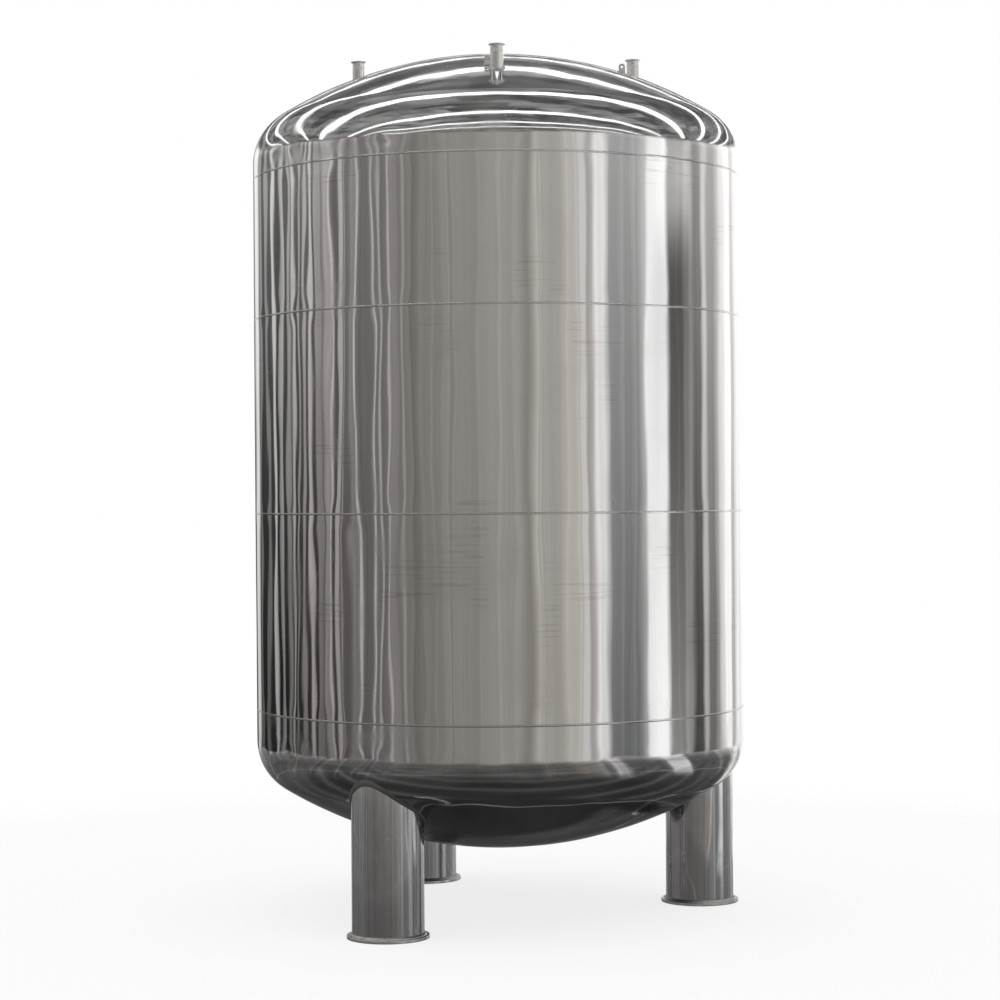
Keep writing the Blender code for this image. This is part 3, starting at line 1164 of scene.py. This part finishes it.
HALL = (
    *panels(
        Tint.PLAIN,
        (-180.0, -163.0, 0.16), (-161.0, -153.0, 0.80), (-150.0, -148.5, 0.10), (-147.5, -146.0, 0.22),
    ),
    *panels(Tint.COOL, (-144.5, -140.0, 0.04)),
    *panels(Tint.PLAIN, (-138.5, -136.5, 0.20)),
    *panels(Tint.COOL, (-135.0, -130.0, 0.05)),
    *panels(Tint.PLAIN, (-129.0, -126.5, 0.55)),
    *panels(Tint.COOL, (-125.5, -123.0, 0.03)),
    *panels(
        Tint.PLAIN,
        (-122.0, -119.5, 0.38), (-118.5, -116.0, 0.04), (-115.0, -113.0, 0.28), (-112.5, -111.5, 0.10),
        (-110.8, -109.5, 0.46), (-109.0, -107.3, 0.04), (-107.0, -106.0, 0.32),
    ),
    *panels(
        Tint.ROSE,
        (-105.7, -103.3, 0.06), (-103.0, -101.0, 0.32), (-100.7, -98.6, 0.06), (-98.0, -95.5, 0.48),
        (-95.2, -93.6, 0.06), (-93.0, -90.5, 0.25), (-90.0, -87.5, 0.14), (-86.5, -82.5, 0.32),
        (-82.0, -79.5, 0.08), (-79.0, -77.0, 0.46), (-76.5, -72.0, 0.15), (-71.5, -67.0, 0.23),
        (-66.0, -60.5, 0.17), (-60.0, -59.0, 0.29), (-58.5, -51.0, 0.18), (-50.0, -48.0, 0.29),
    ),
    *panels(
        Tint.WARM,
        (-46.5, -37.5, 0.215), (-34.5, -26.5, 0.26), (-22.0, -11.0, 0.31), (-5.5, 9.0, 0.375),
        (11.5, 13.5, 0.295), (18.0, 20.0, 0.53), (22.0, 28.0, 0.42), (31.5, 36.5, 0.55),
    ),
    *panels(Tint.PLAIN, (39.5, 40.5, 0.78)),
    *panels(Tint.ROSE, (42.5, 44.0, 0.50)),
    *panels(Tint.PLAIN, (45.5, 49.5, 0.90)),
    *panels(Tint.COOL, (52.5, 66.5, 0.28)),
    *panels(Tint.PLAIN, (70.5, 71.0, 0.50)),
    *panels(Tint.COOL, (73.0, 84.0, 1.13)),
    *panels(
        Tint.PLAIN,
        (86.5, 94.5, 0.17), (97.0, 101.0, 0.28), (104.0, 108.5, 0.14), (111.0, 112.5, 0.70),
        (115.5, 120.0, 0.28), (123.0, 124.0, 0.44), (128.0, 130.0, 1.00), (132.0, 138.5, 1.32),
        (142.0, 144.0, 0.66), (149.0, 180.0, 1.15),
    ),
)


@dataclass(frozen=True)
class Surroundings:
    """What the steel mirrors above the floor, drawn by direction. The camera sees plain white.

    The walls darken towards the floor by their gain. The door and the gate are two stretches of
    azimuth where this gain differs.
    """

    sectors: int = 9
    full_level: float = 1.6
    soft_light: float = 1.05
    left_start: Rise = Rise(-95.0, -80.0)
    left_end: Rise = Rise(-55.0, -35.0, 1.0, 0.15)
    light_streaks: Rise = Rise(0.57, 0.66, 0.0, 0.20)
    dark_shift: float = 500.0
    dark_streaks: Rise = Rise(0.28, 0.36, 0.82, 1.0)
    grain: Rise = Rise(0.2, 0.8, 0.90, 1.10)
    plate_spread: float = 0.16
    gain: Rise = Rise(45.0, 110.0, 0.5, 3.0)
    border: float = 4.0
    door: Point = (48.0, 70.0)
    door_gain: float = 1.4
    gate: Point = (76.0, 101.0)
    gate_gain: float = -5.0
    gate_top: Rise = Rise(0.078, 0.125, 0.0, 0.9)
    bay_fineness: tuple[float, float, float] = (1.5, 3.6, 1.0)
    bay_levels: Rise = Rise(0.1, 0.9, 0.07, 0.20)
    roof_mottle: Rise = Rise(0.3, 0.7, 0.62, 1.38)
    roof_start: Rise = Rise(0.17, 0.22)
    least_slope: float = 0.02

    def ramp(self, bench: Bench, azimuth: Socket, start: float, end: float) -> Socket:
        """Wire the panels of one sector.

        Args:
            bench: The world's node tree.
            azimuth: The azimuth in degrees.
            start: The sector's first azimuth.
            end: The sector's last azimuth.

        Returns:
            The panels' colour, as a share of the full level.
        """
        span = end - start
        share = bench.math("DIVIDE", bench.math("SUBTRACT", azimuth, start), span)
        node = bench.node("ShaderNodeValToRGB", {0: share})
        stops = []
        for panel in HALL:
            if panel.end > start and panel.start < end:
                colour = [channel * panel.level / self.full_level for channel in panel.tint.value]
                for edge in (max(panel.start, start), min(panel.end, end)):
                    stops.append(((edge - start) / span, (*colour, 1.0)))
        elements = node.color_ramp.elements
        for element, (position, colour) in zip((elements[0], elements[1]), (stops[0], stops[-1])):
            element.position = position
            element.color = colour
        for position, colour in stops[1:-1]:
            elements.new(position).color = colour
        return node.outputs[0]

    def walls(self, bench: Bench, azimuth: Socket) -> Socket:
        """Wire all panels and the thin streaks between them.

        Args:
            bench: The world's node tree.
            azimuth: The azimuth in degrees.

        Returns:
            The walls' colour, as a share of the full level.
        """
        borders = spread(-180.0, 180.0, self.sectors)
        walls = self.ramp(bench, azimuth, borders[0], borders[1])
        for start, end in zip(borders[1:], borders[2:]):
            beyond = bench.math("GREATER_THAN", azimuth, start)
            walls = bench.mix(beyond, walls, self.ramp(bench, azimuth, start, end))
        left = bench.times(bench.rise(azimuth, self.left_start), bench.rise(azimuth, self.left_end))
        light = bench.rise(bench.streaks(azimuth, scale=0.42, detail=2.0), self.light_streaks)
        elsewhere = bench.plus(azimuth, self.dark_shift)
        dark = bench.rise(bench.streaks(elsewhere, scale=0.35, detail=2.0), self.dark_streaks)
        grain = bench.rise(bench.streaks(azimuth, scale=1.4, detail=3.0), self.grain)
        plates = bench.cells({"W": azimuth, "Scale": 0.3}, voronoi_dimensions="1D")
        plates = bench.plus(bench.times(plates, self.plate_spread), 1.0 - self.plate_spread / 2)
        walls = bench.vector("ADD", walls, bench.times(light, left))
        for share in (plates, dark, grain):
            walls = bench.vector("MULTIPLY", walls, share)
        return walls

    def between(self, bench: Bench, azimuth: Socket, ends: Point) -> Socket:
        """Give 1 between two azimuths and 0 beyond them, with soft borders."""
        start, end = ends
        opened = bench.rise(azimuth, Rise(start - self.border, start + self.border))
        closed = bench.rise(azimuth, Rise(end - self.border, end + self.border, 1.0, 0.0))
        return bench.times(opened, closed)

    def contrast(self, bench: Bench, azimuth: Socket, slope: Socket) -> Socket:
        """Wire the walls' exponent, which is mostly higher, so darker, towards the floor.

        Args:
            bench: The world's node tree.
            azimuth: The azimuth in degrees.
            slope: The Z of the direction that the steel mirrors.

        Returns:
            The exponent.
        """
        door = self.between(bench, azimuth, self.door)
        gate = self.between(bench, azimuth, self.gate)
        gain = bench.rise(bench.math("ABSOLUTE", azimuth), self.gain)
        gain = bench.plus(gain, bench.weighted((door, self.door_gain), (gate, self.gate_gain)))
        exponent = bench.math("SUBTRACT", 1.0, bench.times(slope, gain))
        lighter = bench.times(gate, bench.rise(slope, self.gate_top))
        return bench.math("SUBTRACT", exponent, lighter)

    def roof(self, bench: Bench, direction: Socket, slope: Socket) -> Socket:
        """Wire the ceiling between the light strips.

        Args:
            bench: The world's node tree.
            direction: The direction that the steel mirrors.
            slope: The direction's Z.

        Returns:
            The ceiling's colour, as a share of the full level.
        """
        flat = bench.vector("DIVIDE", direction, slope)
        bays = bench.vector("MULTIPLY", flat, self.bay_fineness)
        bays = bench.cells({"Vector": bays, "Scale": 1.0}, distance="CHEBYCHEV")
        mottle = bench.noise(flat, scale=4.5, detail=8.0, distortion=0.6)
        return bench.times(bench.rise(bays, self.bay_levels), bench.rise(mottle, self.roof_mottle))

    def build(self) -> None:
        """Wire the world."""
        world = bpy.data.worlds.new("surroundings")
        world.use_nodes = True
        bpy.context.scene.world = world
        world.node_tree.nodes.clear()
        bench = Bench(world.node_tree)
        direction = bench.node("ShaderNodeTexCoord", {}).outputs["Generated"]
        slope = bench.node("ShaderNodeSeparateXYZ", {0: direction}).outputs["Z"]
        azimuth = bench.azimuth(direction)
        walls = bench.gamma(self.walls(bench, azimuth), self.contrast(bench, azimuth, slope))
        roof = self.roof(bench, direction, bench.math("MAXIMUM", slope, self.least_slope))
        hall = bench.mix(bench.rise(slope, self.roof_start), walls, roof)
        mirrored = bench.background(hall, self.full_level)
        white = bench.background(WHITE, 1.0)
        soft = bench.background(WHITE, self.soft_light)
        path = bench.node("ShaderNodeLightPath", {})
        shown = bench.mix_shader(path.outputs["Is Diffuse Ray"], mirrored, soft)
        shown = bench.mix_shader(path.outputs["Is Camera Ray"], shown, white)
        bench.node("ShaderNodeOutputWorld", {"Surface": shown})


@dataclass(frozen=True)
class Floor:
    """A plain pale floor fading into the white, which the steel mirrors as a darker glow with painted
    shade.
    """

    radius: float = 9.0
    sides: int = 96
    pale: Colour = (0.92, 0.92, 0.92)
    glow: float = 0.78
    fade: Rise = Rise(1.3, 4.6)
    mirror_end: Rise = Rise(5.6, 6.4)
    # Painted shade: the floor that the steel mirrors is darkest under the tank and lighter beyond it
    level: Rise = Rise(1.0, 2.6, 0.022, 0.045)
    mottle: Rise = Rise(0.3, 0.7, 0.70, 1.35)
    joint_bend: float = 0.9
    joint_pitch: float = 0.62
    joint_levels: Rise = Rise(0.0, 0.03, 0.16, 0.0)
    sheen: Colour = (0.9, 0.9, 0.9)
    roughness: float = 0.18
    coating: float = 1.6
    # Painted reflection of the walls on the mirrored floor: its contrast by distance, and where it
    # starts
    contrast: Rise = Rise(3.4, 6.0, 2.6, 1.2)
    glare_start: Rise = Rise(1.5, 2.1)
    hall: Surroundings = Surroundings()

    def material(self) -> bpy.types.Material:
        """Wire the floor's material."""
        material, bench = blank_material("studio_floor")
        place = bench.node("ShaderNodeTexCoord", {}).outputs["Object"]
        radius = bench.length(place)
        clear = bench.node("ShaderNodeBsdfTransparent", {}).outputs[0]
        pale = bench.node("ShaderNodeBsdfDiffuse", {"Color": (*self.pale, 1.0)}).outputs[0]
        pale = bench.mix_shader(self.glow, pale, bench.glow(WHITE, 1.0))
        seen = bench.mix_shader(bench.rise(radius, self.fade), pale, clear)
        # The floor that the steel mirrors glows: painted shade under the tank and a painted reflection
        # of the walls
        dark = bench.glow(self.reflected(bench, place, radius), 1.0)
        gloss = {"Color": (*self.sheen, 1.0), "Roughness": self.roughness}
        sheen = bench.node("ShaderNodeBsdfGlossy", gloss).outputs[0]
        fresnel = bench.node("ShaderNodeFresnel", {"IOR": self.coating}).outputs[0]
        mirrored = bench.mix_shader(fresnel, dark, sheen)
        mirrored = bench.mix_shader(bench.rise(radius, self.mirror_end), mirrored, clear)
        path = bench.node("ShaderNodeLightPath", {})
        surface = bench.mix_shader(path.outputs["Is Camera Ray"], mirrored, seen)
        below = bench.node("ShaderNodeNewGeometry", {}).outputs["Backfacing"]
        bench.node("ShaderNodeOutputMaterial", {"Surface": bench.mix_shader(below, surface, clear)})
        return material

    def reflected(self, bench: Bench, place: Socket, radius: Socket) -> Socket:
        """Wire the floor as the steel mirrors it: painted shade under the tank, painted glare of the
        walls beyond.

        Args:
            bench: The floor material's node tree.
            place: The place on the floor.
            radius: Its distance from the tank's axis.

        Returns:
            The colour.
        """
        mottle = bench.rise(bench.noise(place, scale=1.1, detail=5.0, distortion=0.6), self.mottle)
        bend = bench.times(bench.noise(place, scale=0.8, detail=3.0), self.joint_bend)
        joints = bench.math("PINGPONG", bench.plus(radius, bend), self.joint_pitch)
        joints = bench.rise(joints, self.joint_levels)
        # Painted shade: the glow is darker under the tank
        level = bench.plus(bench.times(bench.rise(radius, self.level), mottle), joints)
        # Painted reflection of the walls on the floor, as glare
        walls = self.hall.walls(bench, bench.azimuth(place))
        walls = bench.gamma(walls, bench.rise(radius, self.contrast))
        gain = bench.times(bench.rise(radius, self.glare_start), self.hall.full_level)
        glare = bench.vector("MULTIPLY", bench.vector("MULTIPLY", walls, gain), mottle)
        return bench.vector("ADD", glare, level)

    def build(self) -> None:
        """Lay the floor."""
        bm = bmesh.new()
        bmesh.ops.create_circle(bm, cap_ends=True, segments=self.sides, radius=self.radius)
        floor = linked("studio_floor", bm)
        floor.data.materials.append(self.material())


@dataclass(frozen=True)
class LightStrips:
    """Long soft light strips overhead, which only the steel mirrors."""

    rows: tuple[float, ...] = (-12.0, -8.2, -4.3, -0.2, 3.6, 7.3, 11.0)
    level: float = 7.0
    width: float = 0.68
    length: float = 34.0
    skew: float = 5.0
    strength: float = 1.9

    def build(self) -> None:
        """Hang the strips."""
        material, bench = blank_material("light_strip")
        bench.node("ShaderNodeOutputMaterial", {"Surface": bench.glow(WHITE, self.strength)})
        for number, y in enumerate(self.rows):
            bm = bmesh.new()
            bmesh.ops.create_grid(bm, x_segments=1, y_segments=1, size=0.5)
            bmesh.ops.scale(bm, vec=(self.length, self.width, 1.0), verts=bm.verts)
            pivot(bm, math.radians(self.skew), bm.verts)
            strip = linked(f"light_strip_{number}", move(bm, 0.0, y, self.level))
            strip.data.materials.append(material)
            strip.visible_camera = False
            strip.visible_diffuse = False
            strip.visible_shadow = False


@dataclass(frozen=True)
class Viewpoint:
    """The camera, where the photographer stood."""

    distance: float = 10.4
    eye: float = 1.70
    aim: tuple[float, float, float] = (0.005, 0.0, 1.676)
    lens: float = 90.76
    sensor: float = 36.0
    roll: float = 0.4

    def build(self) -> None:
        """Set up the camera."""
        data = bpy.data.cameras.new("viewpoint")
        data.lens = self.lens
        data.sensor_width = self.sensor
        camera = bpy.data.objects.new("viewpoint", data)
        camera.location = (0.0, -self.distance, self.eye)
        look = (Vector(self.aim) - camera.location).to_track_quat("-Z", "Y")
        roll = Quaternion((0.0, 0.0, 1.0), math.radians(-self.roll))
        camera.rotation_euler = (look @ roll).to_euler()
        bpy.context.scene.collection.objects.link(camera)
        bpy.context.scene.camera = camera


@dataclass
class Tank:
    """The whole tank."""

    shop: Workshop = field(default_factory=Workshop)
    top: Head = field(default_factory=lambda: Head("top_head", 1, 11.0))
    bottom: Head = field(default_factory=lambda: Head("bottom_head", -1, 23.0))

    def build(self) -> None:
        """Make every piece, from the shell outwards."""
        for name, seed in (("lower", 41.0), ("middle", 57.0), ("upper", 73.0)):
            Course(name, seed).build(self.shop)
        for name in ("bottom", "lower", "upper", "top"):
            GirthWeld(name).build(self.shop)
        nozzles = [Nozzle(name, self.top) for name in ("front", "left", "right", "back")]
        self.bottom.build(self.shop)
        self.top.build(self.shop, nozzles)
        for nozzle in nozzles:
            nozzle.build(self.shop)
        for name in ("front", "right"):
            Lug(name, self.top).build(self.shop)
        for name in ("front_left", "right", "rear_left"):
            Leg(name, self.bottom).build(self.shop)


def main() -> None:
    """Set up the studio and build the tank in it."""
    logging.basicConfig(level=logging.INFO, format="%(message)s")
    bpy.context.scene.view_settings.view_transform = "Standard"
    Viewpoint().build()
    Surroundings().build()
    Floor().build()
    LightStrips().build()
    Tank().build()


if __name__ == "__main__":
    main()
